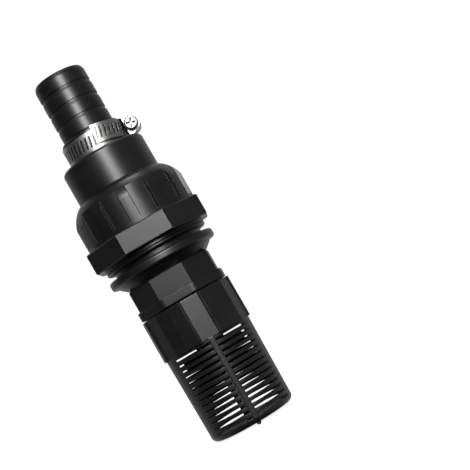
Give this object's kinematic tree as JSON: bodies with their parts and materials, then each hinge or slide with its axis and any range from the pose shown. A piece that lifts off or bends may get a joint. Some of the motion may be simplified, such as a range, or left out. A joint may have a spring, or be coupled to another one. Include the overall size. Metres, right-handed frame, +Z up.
{
  "type": "foot valve",
  "caption": "Spring foot valve for a pump's suction hose: barbed tail with worm-drive clamp, two-part casing with wrench octagons, spring poppet inside, screw-in slotted strainer.",
  "frame": {"origin": "on the valve's axis, level with the strainer's lowest point", "axes": "+Z up the valve's axis from the strainer to the hose tail, -Y the front, where the clamp screw's head points"},
  "size_m": [0.056, 0.056, 0.1803],
  "materials": {
    "black_pp": "satin moulded polypropylene, fine grain",
    "seal_rubber": "matt nitrile rubber",
    "stainless": "rolled stainless strip, satin",
    "screw_steel": "bright zinc-plated steel",
    "stem_steel": "turned stainless steel",
    "spring_steel": "drawn stainless wire",
    "acetal": "natural white acetal"
  },
  "bodies": {
    "casing": {"hose_tail": "black_pp", "tail_washer": "seal_rubber", "clamp_band": "stainless", "clamp_housing": "stainless", "upper_casing": "black_pp", "guide_bush": "acetal", "casing_gasket": "seal_rubber", "lower_casing": "black_pp", "valve_spring": "spring_steel", "spring_washer": "stem_steel", "lower_guide": "acetal"},
    "poppet": {"seal_retainer": "black_pp", "poppet_seal": "seal_rubber", "poppet_disc": "black_pp", "poppet_stem": "stem_steel", "lock_washer": "stem_steel", "stem_nut": "stem_steel"},
    "clamp_worm": {"clamp_screw": "screw_steel"},
    "washer": {"strainer_washer": "seal_rubber"},
    "strainer": {"strainer": "black_pp"}
  },
  "joints": [
    {"name": "poppet_lift", "type": "slide", "parent": "casing", "child": "poppet", "axis": [0, 0, 1], "range_m": [0, 0.006], "stiffness_N_per_m": 60, "springref_m": -0.004, "deforming": ["valve_spring"]},
    {"name": "clamp_screw_turn", "type": "hinge", "parent": "casing", "child": "clamp_worm", "pos_m": [0.0188, 0, 0.14455], "axis": [0, 1, 0], "continuous": true},
    {"name": "strainer_drop", "type": "slide", "parent": "casing", "child": "washer", "axis": [0, 0, -1], "range_m": [0, 0.0138]},
    {"name": "strainer_unscrew", "type": "hinge", "parent": "washer", "child": "strainer", "pos_m": [0, 0, 0], "axis": [0, 0, -1], "range_deg": [0, 2160]}
  ],
  "couplings": [
    {"joint": "strainer_unscrew", "follows": "strainer_drop", "rad_per_m": 2721.2}
  ]
}
